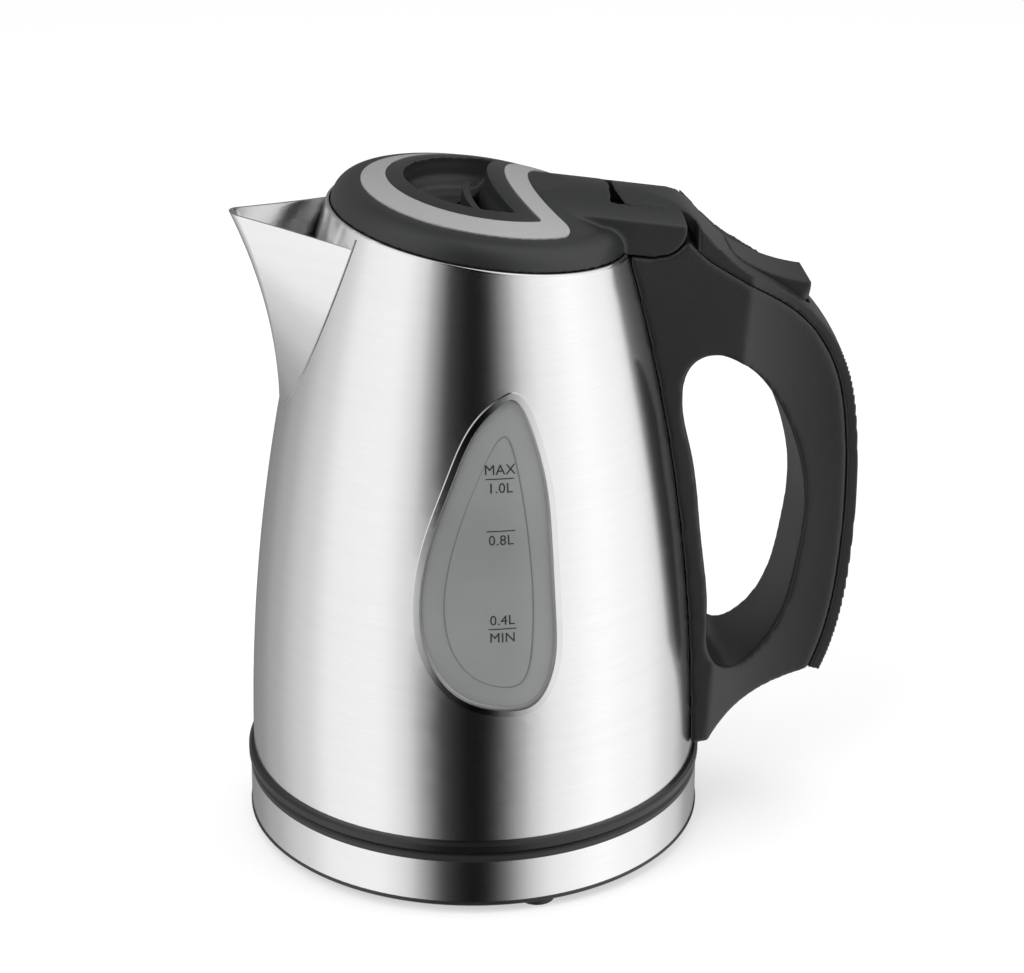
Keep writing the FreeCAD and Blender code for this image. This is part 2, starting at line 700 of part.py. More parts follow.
def slot_sweep(z0, z1):
    """Space that the tab needs over its travel towards the handle."""
    near = tab_slot(0.4, z0, z1)
    swept = near
    steps = 4
    for i in range(1, steps + 1):
        moved = near.copy()
        moved.translate(vec(LATCH_TRAVEL * i / steps, 0, 0))
        swept = swept.fuse(moved)
    return swept


def inlay_groove(extra):
    return crescent(-extra, 0, 40).cut(crescent(INLAY_W + extra, -1, 41))


def lid_cover():
    bridge = lid_bridge().common(bridge_crown()).cut(crescent(-0.6, 0, 60))
    outer = lid_outer(0).fuse(bridge)
    hollow = lid_outer(LID_T)
    hollow.translate(vec(0, 0, -0.01))
    outer = outer.cut(hollow.cut(well_body(WELL_WALL)))
    for ear in hinge_ears(0, EAR_IN_Y, EAR_OUT_Y):
        outer = outer.fuse(ear.common(bridge_crown()))
    skirt = tube(LID_SKIRT_R, LID_SKIRT_R - LID_SKIRT_T, -LID_SKIRT_DEPTH, LID_LIFT + 1.0)
    outer = outer.fuse(skirt).cut(well_body(0))
    groove = inlay_groove(0.02).common(dome(1.0).cut(dome(-INLAY_DEPTH)))
    outer = outer.cut(groove).cut(slot_sweep(-2, WELL_FLOOR_H + 6))
    x0, z0 = in_lid(HINGE_X, HINGE_Z)
    sweep = y_cyl(SWEEP_R, -EAR_IN_Y, EAR_IN_Y, x0, z0).common(box(0, 90, -30, 30, -NOTCH_DEPTH, 60))
    sweep = sweep.fuse(box(x0, x0 + 30, -EAR_IN_Y, EAR_IN_Y, LID_LIFT, 60))
    half_w = BOLT_W / 2 + SEAT_GAP
    bolt_hole = box(-LID_R, -LID_SKIRT_R + 4, -half_w, half_w, LATCH_Z - SEAT_GAP, LATCH_Z + LATCH_T + SEAT_GAP)
    pin_hole = y_cyl(HINGE_PIN_R, -EAR_OUT_Y + PIN_COVER, EAR_OUT_Y - PIN_COVER, x0, z0)
    return to_lid(outer.cut(sweep).cut(bolt_hole).cut(pin_hole).removeSplitter())


def lid_inlay():
    strip = inlay_groove(0).common(dome(INLAY_STEP).cut(dome(-INLAY_DEPTH + 0.02)))
    return to_lid(strip)


def lid_inner_plate():
    r = LID_SKIRT_R - LID_SKIRT_T
    z1 = -LID_SKIRT_DEPTH + 1.6
    plate = cyl(r - 0.05, -LID_SKIRT_DEPTH, z1)
    for x, y, _ in around(3, 24.0, 30.0):
        plate = plate.fuse(cyl(2.6, z1 - 0.5, LATCH_Z - 1.0, x, y))
    return to_lid(plate.removeSplitter())


def lid_seal():
    z0 = -LID_SKIRT_DEPTH - LID_SEAL_T
    return to_lid(tube(LID_SKIRT_R - 0.2, COLLAR_LEDGE_R + 0.2, z0, -LID_SKIRT_DEPTH))


def lid_latch():
    """Sliding bolt under the well with the crescent finger tab that pulls it back."""
    z0, z1 = LATCH_Z, LATCH_Z + LATCH_T
    plate = box(-34, 3, -LATCH_W / 2, LATCH_W / 2, z0, z1)
    bolt = box(-COLLAR_IN_R - 1.1, -30, -BOLT_W / 2, BOLT_W / 2, z0, z1)
    foot = tab_slot(0, z0, z1).fuse(tab_slot(0, z0, WELL_FLOOR_H + 6.5))
    return to_lid(plate.fuse(bolt).fuse(foot).removeSplitter())


def latch_springs():
    """Two compression springs behind the latch, drawn as their outer sleeves."""
    z = LATCH_Z + LATCH_T / 2
    springs = []
    for side in (-1, 1):
        y = side * (LATCH_W / 2 + 2.2)
        coil = Part.makeCylinder(1.5, 9, vec(-2.8, y, z), vec(1, 0, 0))
        springs.append(coil.cut(Part.makeCylinder(1.0, 11, vec(-3.8, y, z), vec(1, 0, 0))))
    return to_lid(Part.makeCompound(springs))


def neck_collar():
    z_ledge = -LID_SKIRT_DEPTH - LID_SEAL_T - SEAT_GAP
    ring = revolve([(COLLAR_IN_R, -0.3), (COLLAR_OUT_R, -0.3), (COLLAR_OUT_R, z_ledge - COLLAR_LEDGE_T),
                    (COLLAR_LEDGE_R, z_ledge - COLLAR_LEDGE_T), (COLLAR_LEDGE_R, z_ledge), (COLLAR_IN_R, z_ledge)])
    slot = box(-COLLAR_OUT_R - 1, -COLLAR_IN_R + 1, -BOLT_W / 2 - 0.4, BOLT_W / 2 + 0.4, LATCH_Z - 0.3,
               LATCH_Z + LATCH_T + 0.3)
    return to_lid(ring.cut(slot))


def rim_bead():
    """Rolled steel edge round the mouth of the shell."""
    r = shell_radius(RIM_Z) - SHELL_T / 2 + 0.15
    ring = Part.makeTorus(r, RIM_BEAD_R, vec(0, 0, 0))
    ring = ring.cut(cyl(LID_R + SEAT_GAP, -5, 5)).cut(box(-100, 100, -100, 100, -5, 0))
    return to_lid(ring.cut(box(20, 100, -PAD_HALF_W_TOP - 0.5, PAD_HALF_W_TOP + 0.5, -5, 5)))


# ---------------------------------------------------------------- handle
PARTING = [(64.4, 196.4), (67.6, 192.8), (77.0, 186.0), (89.6, 178.0), (99.2, 171.0), (105.8, 163.5), (112.0, 151.2),
           (115.4, 133.0), (116.4, 113.0), (115.6, 92.0), (112.6, 68.0), (106.6, 48.8)]
UNDERSIDE = [(106.6, 48.8), (99.0, 46.6), (90.0, 43.4), (83.2, 39.8), (76.4, 34.4), (72.6, 29.6)]
FINGER_GAP = [(76.0, 159.4), (84.5, 154.0), (93.5, 142.0), (100.4, 125.0), (103.2, 107.0), (101.4, 89.0),
              (96.0, 68.0), (88.0, 57.0), (80.5, 53.4), (74.4, 57.0), (71.6, 74.0), (69.2, 100.0), (65.8, 128.0),
              (62.6, 148.0), (66.6, 158.2)]
TONGUE_TOP = [(42.0, 210.4), (50.0, 208.9), (58.0, 207.0), (64.0, 204.6), (68.4, 200.4)]


def outer_spine():
    """Outer line of the spine cover: the tongue, then the parting line moved out by its thickness."""
    return TONGUE_TOP + offset_xz(PARTING, COVER_T)[2:]


def width_envelope(shrink):
    """Plan and front outlines that narrow the handle from its broad foot on the jug to the grip."""
    grip = GRIP_HALF_W - shrink
    pad = PAD_HALF_W_LOW - shrink
    half = spline([vec(30, pad, 0), vec(72, pad, 0), vec(84, (pad + grip) / 2 - 1.5, 0), vec(98, grip, 0),
                   vec(140, grip, 0)])
    mirrored = half.mirror(vec(0, 0, 0), vec(0, 1, 0))
    plan = Part.Face(Part.Wire([half, line(vec(140, grip, 0), vec(140, -grip, 0)), mirrored,
                                line(vec(30, -pad, 0), vec(30, pad, 0))])).extrude(vec(0, 0, 260))
    top = PAD_HALF_W_TOP - shrink
    front = Part.Face(Part.makePolygon([vec(0, -pad, 0), vec(0, pad, 0), vec(0, pad, 30), vec(0, top, 197),
                                        vec(0, top, 230), vec(0, -top, 230), vec(0, -top, 197), vec(0, -pad, 30),
                                        vec(0, -pad, 0)])).extrude(vec(200, 0, 0))
    return plan.common(front)


def steam_port(radius):
    """Bore through the shell and the handle's pad that leads steam to the switch."""
    return Part.makeCylinder(radius, 40, vec(40, 0, 184), vec(1, 0, -0.12))


def rocker_frame(shape):
    """Moves a shape drawn about the rocker's pin, with +X down the slope, to its place."""
    placed = shape.copy()
    turn = FreeCAD.Rotation(vec(0, 1, 0), ROCKER_SLOPE_DEG)
    placed.Placement = FreeCAD.Placement(vec(ROCKER_X, 0, ROCKER_Z), turn)
    return placed


def rocker_outline(rear, grow):
    """Rounded box along the spine round the rocker's plan, its rear end at rear."""
    half = ROCKER_HALF_W + grow
    body = box(-ROCKER_FRONT_L - grow, rear + grow, -half, half, -30, 30)
    return body.makeFillet(3.5 + grow, [e for e in body.Edges if abs(e.Vertexes[0].Z - e.Vertexes[1].Z) > 40])


def switch_bay():
    """Room under the rocker for the switch unit."""
    front, rear = ROCKER_FRONT_L + ROCKER_GAP, ROCKER_SWEEP + ROCKER_GAP
    return rocker_frame(box(-front, rear, -BAY_HALF_W, BAY_HALF_W, -BAY_DEPTH, 30))


def trench():
    """Wiring channel down the handle's back, closed by the spine cover."""
    run = PARTING[3:-1]
    low = offset_xz(run, -TRENCH_DEPTH)
    high = offset_xz(run, 1.0)
    edges = [spline(xz(high)), line(*xz([high[-1], low[-1]])), spline(xz(low[::-1])), line(*xz([low[0], high[0]]))]
    return extrude_y(edges, TRENCH_HALF_W)


def handle_side(points_top):
    """Side outline of the moulded handle, from the hinge saddle round to its foot."""
    start = (46.0, 192.6)
    return [line(*xz([start, points_top[0]])), spline(xz(points_top)), spline(xz(UNDERSIDE)),
            line(*xz([UNDERSIDE[-1], (46.0, UNDERSIDE[-1][1] - 2)])), line(*xz([(46.0, UNDERSIDE[-1][1] - 2), start]))]


def lug():
    """Central lug between the lid's ears that holds the hinge pin."""
    corners = xz([(49.2, 192.0), (47.4, 204.0), (62.5, 203.0), (66.0, 196.0), (66.0, 190.0)])
    return extrude_y([line(a, b) for a, b in zip(corners, corners[1:] + corners[:1])], LUG_HALF_W)


def handle_shell():
    outline = extrude_y(handle_side(PARTING), 40)
    gap = extrude_y([closed_spline(xz(FINGER_GAP))], 60)
    saddle = y_cyl(EAR_R + EAR_GAP, -60, 60, HINGE_X, HINGE_Z)
    body = outline.cut(gap).common(width_envelope(0)).cut(saddle)
    for ear in hinge_ears(EAR_GAP, LUG_HALF_W, EAR_OUT_Y + 6):
        body = body.cut(to_lid(ear))
    body = body.fuse(lug())
    body = body.cut(shell_body(-0.02, SHELL_Z - 5, RIM_Z + 15)).cut(trench()).cut(switch_bay())
    body = body.cut(y_cyl(HINGE_PIN_R + PIN_CLEAR, -40, 40, HINGE_X, HINGE_Z)).cut(steam_port(2.5))
    lower = shell_body(0, SHELL_Z - 5, SHELL_Z + 4)
    return body.cut(lower).removeSplitter()


def handle_spine_cover():
    outer = outer_spine()
    join = [(64.4, 196.4), (62.9, 203.0), (47.0, 205.2)]
    edges = [spline(xz(outer)), line(*xz([outer[-1], PARTING[-1]])), spline(xz(PARTING[::-1])),
             line(*xz([PARTING[0], join[1]])), line(*xz([join[1], join[2]])), line(*xz([join[2], outer[0]]))]
    cover = extrude_y(edges, 40).common(width_envelope(0.0))
    beside = box(0, 66.5, LUG_HALF_W, 60, 150, 260).fuse(box(0, 66.5, -60, -LUG_HALF_W, 150, 260))
    ear_room = y_cyl(EAR_R + EAR_GAP, -60, 60, HINGE_X, HINGE_Z)
    cover = cover.cut(beside).cut(ear_room.cut(box(0, 100, -LUG_HALF_W, LUG_HALF_W, 150, 260)))
    round_end = y_cyl(SWEEP_R - 0.4, -60, 60, HINGE_X, HINGE_Z).fuse(box(HINGE_X, 200, -60, 60, 0, 260))
    crowned = to_lid(bridge_crown()).fuse(box(66.5, 200, -60, 60, 0, 260))
    cover = cover.common(round_end).common(crowned).cut(lug())
    opening = rocker_frame(rocker_outline(ROCKER_SWEEP, ROCKER_GAP))
    cheek_room = rocker_frame(box(-4.3, 4.3, -BAY_HALF_W, BAY_HALF_W, -10, 2.1))
    return cover.cut(opening).cut(cheek_room).removeSplitter()


def rocker():
    """Dished on/off paddle; its rear end stands proud when the switch is off."""
    top = ROCKER_REAR_L - ROCKER_LEAN
    corners = [vec(top, 0, ROCKER_REAR_H), vec(ROCKER_REAR_L, 0, ROCKER_LIP_H), vec(top, 0, -2.0), vec(3, 0, -4.0),
               vec(-3, 0, -4.0), vec(-ROCKER_FRONT_L, 0, -2.0), vec(-ROCKER_FRONT_L, 0, ROCKER_FRONT_H)]
    middle = vec((top - ROCKER_FRONT_L) / 2, 0, (ROCKER_REAR_H + ROCKER_FRONT_H) / 2 - ROCKER_DISH)
    edges = [arc(corners[-1], middle, corners[0])]
    edges += [line(a, b) for a, b in zip(corners, corners[1:])]
    body = extrude_y(edges, ROCKER_HALF_W).common(rocker_outline(ROCKER_REAR_L, 0))
    body = body.cut(y_cyl(ROCKER_PIN_R + PIN_CLEAR, -30, 30, 0, 0))
    return rocker_frame(body)


def rocker_pin():
    return y_cyl(ROCKER_PIN_R, -BAY_HALF_W, BAY_HALF_W, ROCKER_X, ROCKER_Z)


def switch_unit():
    """Switch under the rocker, with the two cheeks that hold the rocker's pin."""
    body = box(-11, 11, -BAY_HALF_W + 0.2, BAY_HALF_W - 0.2, -BAY_DEPTH + 0.1, -7.5)
    for side in (-1, 1):
        y0 = min(side * (ROCKER_HALF_W + 0.5), side * (BAY_HALF_W - 0.2))
        y1 = max(side * (ROCKER_HALF_W + 0.5), side * (BAY_HALF_W - 0.2))
        body = body.fuse(box(-4, 4, y0, y1, -8.0, 1.9))
    body = body.cut(y_cyl(ROCKER_PIN_R, -30, 30, 0, 0))
    return rocker_frame(body.removeSplitter())


def steam_tube():
    """Liner of the steam port, from the jug's neck to the switch."""
    shape = steam_port(2.5).cut(steam_port(1.8))
    return shape.cut(shell_body(SHELL_T, SHELL_Z, RIM_Z + 15)).common(box(0, STEAM_TUBE_END, -20, 20, 100, 240))


def leads():
    """Two insulated wires down the trench, each a single arc."""
    mid = offset_xz(PARTING[5:-1], -LEAD_DEPTH)
    wires = []
    for y in (-LEAD_PITCH, LEAD_PITCH):
        start, middle, end = [vec(x, y, z) for x, z in (mid[0], mid[len(mid) // 2], mid[-1])]
        curve = Part.Arc(start, middle, end)
        path = Part.Wire([curve.toShape()])
        circle = Part.Wire([Part.makeCircle(LEAD_R, start, curve.tangent(curve.FirstParameter)[0])])
        wires.append(path.makePipeShell([circle], True, True))
    return Part.makeCompound(wires)


def hinge_pin():
    return y_cyl(HINGE_PIN_R, -EAR_OUT_Y + PIN_COVER, EAR_OUT_Y - PIN_COVER, HINGE_X, HINGE_Z)


def main():
    os.makedirs("parts", exist_ok=True)
    makers = (
        base_feet, base_bottom_plate, base_trim_band, base_cover, base_screws, cord_gland, base_socket,
        socket_turn_ring, body_shell, rim_bead, window_bezel, window_seal, window_lens, spout, spout_filter,
        jug_base_cover, jug_base_screws, jug_connector, connector_pins, control_thermostat, bimetal_disc,
        heating_plate, plate_seal, heat_spreader, heating_element, neck_collar, handle_shell, handle_spine_cover,
        switch_unit, rocker_pin, steam_tube, leads, hinge_pin, lid_cover, lid_inlay, lid_inner_plate, lid_seal,
        lid_latch, latch_springs)
    for make in makers:
        shape = make()
        print(make.__name__, len(shape.Solids), round(shape.Volume), shape.isValid(), flush=True)
        save(shape, make.__name__)
    contacts = Part.makeCompound(contact_blocks(0))
    print("socket_contacts", len(contacts.Solids), round(contacts.Volume), contacts.isValid())
    save(contacts, "socket_contacts")
    paddle = rocker()
    print("switch_rocker", len(paddle.Solids), round(paddle.Volume), paddle.isValid())
    save(paddle, "switch_rocker")


main()
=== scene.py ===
import json
import math

import bpy
from mathutils import Matrix, Vector


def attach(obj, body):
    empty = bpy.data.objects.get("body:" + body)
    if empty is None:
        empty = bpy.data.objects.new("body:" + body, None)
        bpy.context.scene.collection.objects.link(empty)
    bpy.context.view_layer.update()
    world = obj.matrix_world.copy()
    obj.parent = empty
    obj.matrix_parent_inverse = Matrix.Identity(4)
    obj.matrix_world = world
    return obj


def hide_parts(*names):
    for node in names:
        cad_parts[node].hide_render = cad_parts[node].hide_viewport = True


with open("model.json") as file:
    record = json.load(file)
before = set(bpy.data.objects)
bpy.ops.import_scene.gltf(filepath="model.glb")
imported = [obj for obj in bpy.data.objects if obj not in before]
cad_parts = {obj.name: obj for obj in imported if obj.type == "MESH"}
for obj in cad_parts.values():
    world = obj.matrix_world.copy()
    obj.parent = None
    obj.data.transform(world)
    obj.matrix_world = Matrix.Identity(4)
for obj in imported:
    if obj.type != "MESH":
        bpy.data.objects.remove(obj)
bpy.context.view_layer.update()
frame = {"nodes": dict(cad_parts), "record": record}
nodes = frame["nodes"]

# ---- camera ----
CAMERA_AT = Vector((-0.1128, -0.9718, 0.5439))
CAMERA_RIGHT = Vector((0.9920, -0.1262, 0.0033))
CAMERA_AHEAD = Vector((0.1168, 0.9073, -0.4039))
LENS_MM = 119.79
SENSOR_MM = 36.0

# ---- the window's gauge, in metres ----
GAUGE_TEXT_H = 0.0043
GAUGE_LINE = (0.0085, 0.0003)
GAUGE_INK = 0.00006
GAUGE_X = 0.0010
GAUGE_LINES = (0.1405, 0.1248, 0.0946)
GAUGE = (("MAX", 0, 1), ("1.0L", 0, -1), ("0.8L", 1, -1), ("0.4L", 2, 1), ("MIN", 2, -1))
SHELL_R = 0.07095
SHELL_BULGE_R = 0.645
LENS_INSET = 0.0003
SHELL_Z = min(corner.z for corner in (v.co for v in nodes["body_shell"].data.vertices))
CONTOUR_R = 0.0002
CONTOUR = [(2.6, 157.0), (-5.6, 141.0), (-13.4, 121.0), (-17.0, 103.0), (-15.4, 88.0), (-8.0, 78.2),
           (2.0, 75.4), (8.6, 76.8), (10.4, 90.0), (10.6, 108.0), (8.6, 130.0), (5.6, 148.0)]
MM = 0.001

# ---- the weld lines of the spout, in metres ----
SEAM_ROOT_Z = 0.143
SEAM_RISE = 0.0633
SEAM_HALF_W = 0.0254
SEAM_CURVE = 2.2
SEAM_R = 0.00028
SEAM_PROUD = 0.00005


# ------------------------------------------------------------------ node helpers
def new_material(name):
    material = bpy.data.materials.new(name)
    material.use_nodes = True
    tree = material.node_tree
    shader = tree.nodes["Principled BSDF"]
    return material, tree, shader


def add(tree, kind, **values):
    node = tree.nodes.new(kind)
    for key, value in values.items():
        setattr(node, key, value)
    return node


def math_node(tree, operation, a, b=None, c=None):
    node = add(tree, "ShaderNodeMath", operation=operation)
    for socket, value in zip(node.inputs, (a, b, c)):
        if value is None:
            continue
        if isinstance(value, (int, float)):
            socket.default_value = value
        else:
            tree.links.new(value, socket)
    return node.outputs[0]


def ramp(tree, value, stops, interpolation="LINEAR"):
    node = add(tree, "ShaderNodeValToRGB")
    node.color_ramp.interpolation = interpolation
    elements = node.color_ramp.elements
    while len(elements) > len(stops):
        elements.remove(elements[-1])
    while len(elements) < len(stops):
        elements.new(1.0)
    for element, (place, grey) in zip(elements, stops):
        element.position = place
        element.color = grey if isinstance(grey, tuple) else (grey, grey, grey, 1.0)
    tree.links.new(value, node.inputs[0])
    return node.outputs[0]


def object_coords(tree, scale=(1, 1, 1)):
    coords = add(tree, "ShaderNodeTexCoord")
    mapping = add(tree, "ShaderNodeMapping")
    mapping.inputs["Scale"].default_value = scale
    tree.links.new(coords.outputs["Object"], mapping.inputs["Vector"])
    return mapping.outputs["Vector"]


def noise(tree, vector, scale, detail=3.0, rough=0.5):
    node = add(tree, "ShaderNodeTexNoise")
    node.inputs["Scale"].default_value = scale
    node.inputs["Detail"].default_value = detail
    node.inputs["Roughness"].default_value = rough
    tree.links.new(vector, node.inputs["Vector"])
    return node.outputs["Fac"]


def bump(tree, shader, height, strength, distance):
    node = add(tree, "ShaderNodeBump")
    node.inputs["Strength"].default_value = strength
    node.inputs["Distance"].default_value = distance
    tree.links.new(height, node.inputs["Height"])
    tree.links.new(node.outputs["Normal"], shader.inputs["Normal"])
    return node


def mix_range(tree, value, low, high):
    node = add(tree, "ShaderNodeMapRange")
    node.inputs["To Min"].default_value = low
    node.inputs["To Max"].default_value = high
    tree.links.new(value, node.inputs["Value"])
    return node.outputs[0]


# ------------------------------------------------------------------ materials
def moulded_plastic(name, colour, roughness=0.42, grain=0.35):
    """Dark moulded plastic with a fine spark-eroded grain and faint uneven gloss."""
    material, tree, shader = new_material(name)
    vector = object_coords(tree)
    fine = noise(tree, vector, 2600.0, 2.0)
    broad = noise(tree, vector, 35.0, 4.0)
    low, high = tuple(c * 0.90 for c in colour), tuple(c * 1.10 for c in colour)
    shade = ramp(tree, broad, [(0.3, low + (1.0,)), (0.7, high + (1.0,))])
    tree.links.new(shade, shader.inputs["Base Color"])
    tree.links.new(mix_range(tree, broad, roughness - 0.05, roughness + 0.06), shader.inputs["Roughness"])
    bump(tree, shader, fine, grain, 0.00006)
    return material


def brushed_steel(name, colour=0.82, roughness=0.165, grain=0.10):
    """Stainless sheet with a fine grain running round the body."""
    material, tree, shader = new_material(name)
    shader.inputs["Metallic"].default_value = 1.0
    shader.inputs["Anisotropic"].default_value = 0.55
    coords = add(tree, "ShaderNodeTexCoord")
    split = add(tree, "ShaderNodeSeparateXYZ")
    tree.links.new(coords.outputs["Object"], split.inputs[0])
    angle = math_node(tree, "ARCTAN2", split.outputs["Y"], split.outputs["X"])
    join = add(tree, "ShaderNodeCombineXYZ")
    tree.links.new(math_node(tree, "MULTIPLY", angle, 0.55), join.inputs["X"])
    tree.links.new(math_node(tree, "MULTIPLY", split.outputs["Z"], 260.0), join.inputs["Y"])
    streak = noise(tree, join.outputs[0], 14.0, 5.0, 0.65)
    broad = noise(tree, join.outputs[0], 1.3, 2.0, 0.5)
    fine_part = math_node(tree, "MULTIPLY", streak, 0.75)
    both = math_node(tree, "ADD", fine_part, math_node(tree, "MULTIPLY", broad, 0.25))
    shade = ramp(tree, both, [(0.25, colour * 0.95), (0.75, colour * 1.03)])
    tree.links.new(shade, shader.inputs["Base Color"])
    tree.links.new(mix_range(tree, streak, roughness - 0.02, roughness + 0.03), shader.inputs["Roughness"])
    tangent = add(tree, "ShaderNodeTangent", direction_type="RADIAL", axis="Z")
    tree.links.new(tangent.outputs[0], shader.inputs["Tangent"])
    bump(tree, shader, streak, grain, 0.00004)
    return material


def polished_steel(name, colour=0.78, roughness=0.10):
    material, tree, shader = new_material(name)
    shader.inputs["Metallic"].default_value = 1.0
    vector = object_coords(tree)
    smear = noise(tree, vector, 60.0, 4.0)
    fine = noise(tree, vector, 900.0, 3.0)
    tree.links.new(ramp(tree, smear, [(0.3, colour * 0.94), (0.7, colour)]), shader.inputs["Base Color"])
    tree.links.new(mix_range(tree, smear, roughness, roughness + 0.08), shader.inputs["Roughness"])
    bump(tree, shader, fine, 0.05, 0.00003)
    return material


def satin_silver(name):
    """Silver paint: fine metallic flake under a satin coat."""
    material, tree, shader = new_material(name)
    shader.inputs["Metallic"].default_value = 0.75
    vector = object_coords(tree)
    flake = noise(tree, vector, 5200.0, 1.0)
    broad = noise(tree, vector, 40.0, 3.0)
    tree.links.new(ramp(tree, flake, [(0.35, 0.50), (0.65, 0.62)]), shader.inputs["Base Color"])
    tree.links.new(mix_range(tree, broad, 0.36, 0.44), shader.inputs["Roughness"])
    bump(tree, shader, flake, 0.12, 0.00003)
    return material


def window_plastic(name, shade=1.0):
    """Smoky frosted plastic of the level window."""
    material, tree, shader = new_material(name)
    vector = object_coords(tree)
    broad = noise(tree, vector, 22.0, 3.0)
    frost = noise(tree, vector, 1800.0, 2.0)
    low = (0.165 * shade, 0.17 * shade, 0.17 * shade, 1)
    high = (0.205 * shade, 0.21 * shade, 0.21 * shade, 1)
    grey = ramp(tree, broad, [(0.3, low), (0.7, high)])
    tree.links.new(grey, shader.inputs["Base Color"])
    shader.inputs["Roughness"].default_value = 0.28
    shader.inputs["Coat Weight"].default_value = 0.3
    shader.inputs["Coat Roughness"].default_value = 0.12
    bump(tree, shader, frost, 0.08, 0.00004)
    return material


def plain_rubber(name, colour, roughness=0.6):
    return moulded_plastic(name, colour, roughness, 0.5)


def cast_metal(name, colour, roughness=0.45):
    material, tree, shader = new_material(name)
    shader.inputs["Metallic"].default_value = 1.0
    vector = object_coords(tree)
    broad = noise(tree, vector, 120.0, 5.0)
    low = tuple(c * 0.88 for c in colour) + (1.0,)
    high = tuple(colour) + (1.0,)
    tree.links.new(ramp(tree, broad, [(0.3, low), (0.7, high)]), shader.inputs["Base Color"])
    tree.links.new(mix_range(tree, broad, roughness - 0.08, roughness + 0.1), shader.inputs["Roughness"])
    bump(tree, shader, broad, 0.2, 0.0001)
    return material


MATERIALS = {
    "black_abs": moulded_plastic("black_abs", (0.0125, 0.0135, 0.0130), 0.38, 0.6),
    "black_skirt": moulded_plastic("black_skirt", (0.006, 0.006, 0.007), 0.22, 0.1),
    "brushed_steel": brushed_steel("brushed_steel"),
    "polished_steel": polished_steel("polished_steel"),
    "satin_silver": satin_silver("satin_silver"),
    "window_plastic": window_plastic("window_plastic"),
    "rubber": plain_rubber("rubber", (0.02, 0.02, 0.02)),
    "silicone": plain_rubber("silicone", (0.45, 0.45, 0.44), 0.5),
    "heater_aluminium": cast_metal("heater_aluminium", (0.6, 0.6, 0.61)),
    "brass": cast_metal("brass", (0.65, 0.50, 0.25), 0.3),
    "white_nylon": moulded_plastic("white_nylon", (0.70, 0.69, 0.65), 0.5, 0.2),
    "wire_insulation": moulded_plastic("wire_insulation", (0.30, 0.05, 0.03), 0.45, 0.1),
    "zinc_steel": cast_metal("zinc_steel", (0.55, 0.55, 0.56), 0.35),
}


def dress_cad():
    """Gives every CAD node its slot's material and smooth shading across gentle angles."""
    for part in frame["record"]["subparts"]:
        piece = nodes[part["node"]]
        piece.data.materials.clear()
        piece.data.materials.append(MATERIALS[part["material_slot"]])
        piece.data.shade_smooth()
        piece.data.set_sharp_from_angle(angle=math.radians(32))


# ------------------------------------------------------------------ modelled pieces
def softened(node, body, slot, voxel, rounds):
    """Stands for a moulded node with its edges rounded, as the tool leaves them."""
    source = bpy.data.objects.new(node + "_form", nodes[node].data.copy())
    bpy.context.scene.collection.objects.link(source)
    remesh = source.modifiers.new("remesh", "REMESH")
    remesh.mode = "VOXEL"
    remesh.voxel_size = voxel
    smooth = source.modifiers.new("smooth", "SMOOTH")
    smooth.factor = 0.5
    smooth.iterations = rounds
    graph = bpy.context.evaluated_depsgraph_get()
    mesh = bpy.data.meshes.new_from_object(source.evaluated_get(graph))
    bpy.data.objects.remove(source)
    piece = bpy.data.objects.new(node + "_moulded", mesh)
    bpy.context.scene.collection.objects.link(piece)
    mesh.materials.clear()
    mesh.materials.append(MATERIALS[slot])
    mesh.shade_smooth()
    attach(piece, body)
    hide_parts(node)
    return piece


def crown_cover(piece, edge_drop=0.0016):
    """Crowns the spine cover: its outer face falls away towards both long edges."""
    grip_half = 0.015
    centre = Vector((0.080, 0.0, 0.115))
    moves = []
    for vertex in piece.data.vertices:
        outward = vertex.co - centre
        outward.y = 0.0
        outward.normalize()
        facing = max(0.0, min(1.0, (vertex.normal.dot(outward) - 0.2) / 0.6))
        share = min(1.0, abs(vertex.co.y) / grip_half) ** 2.4
        moves.append(outward * (-edge_drop * share * facing))
    for vertex, move in zip(piece.data.vertices, moves):
        vertex.co += move


def shell_radius(z):
    return SHELL_R - SHELL_BULGE_R + math.sqrt(SHELL_BULGE_R ** 2 - (z - SHELL_Z) ** 2)


def lens_point(x, z, proud):
    """Point on the window's curved face at an offset x across and a height z."""
    radius = shell_radius(z) - LENS_INSET + proud
    return Vector((x, -math.sqrt(radius ** 2 - x ** 2), z))


def add_mesh(name, points, faces, material):
    mesh = bpy.data.meshes.new(name)
    mesh.from_pydata([tuple(p) for p in points], [], faces)
    piece = bpy.data.objects.new(name, mesh)
    bpy.context.scene.collection.objects.link(piece)
    mesh.materials.append(material)
    mesh.shade_smooth()
    return piece


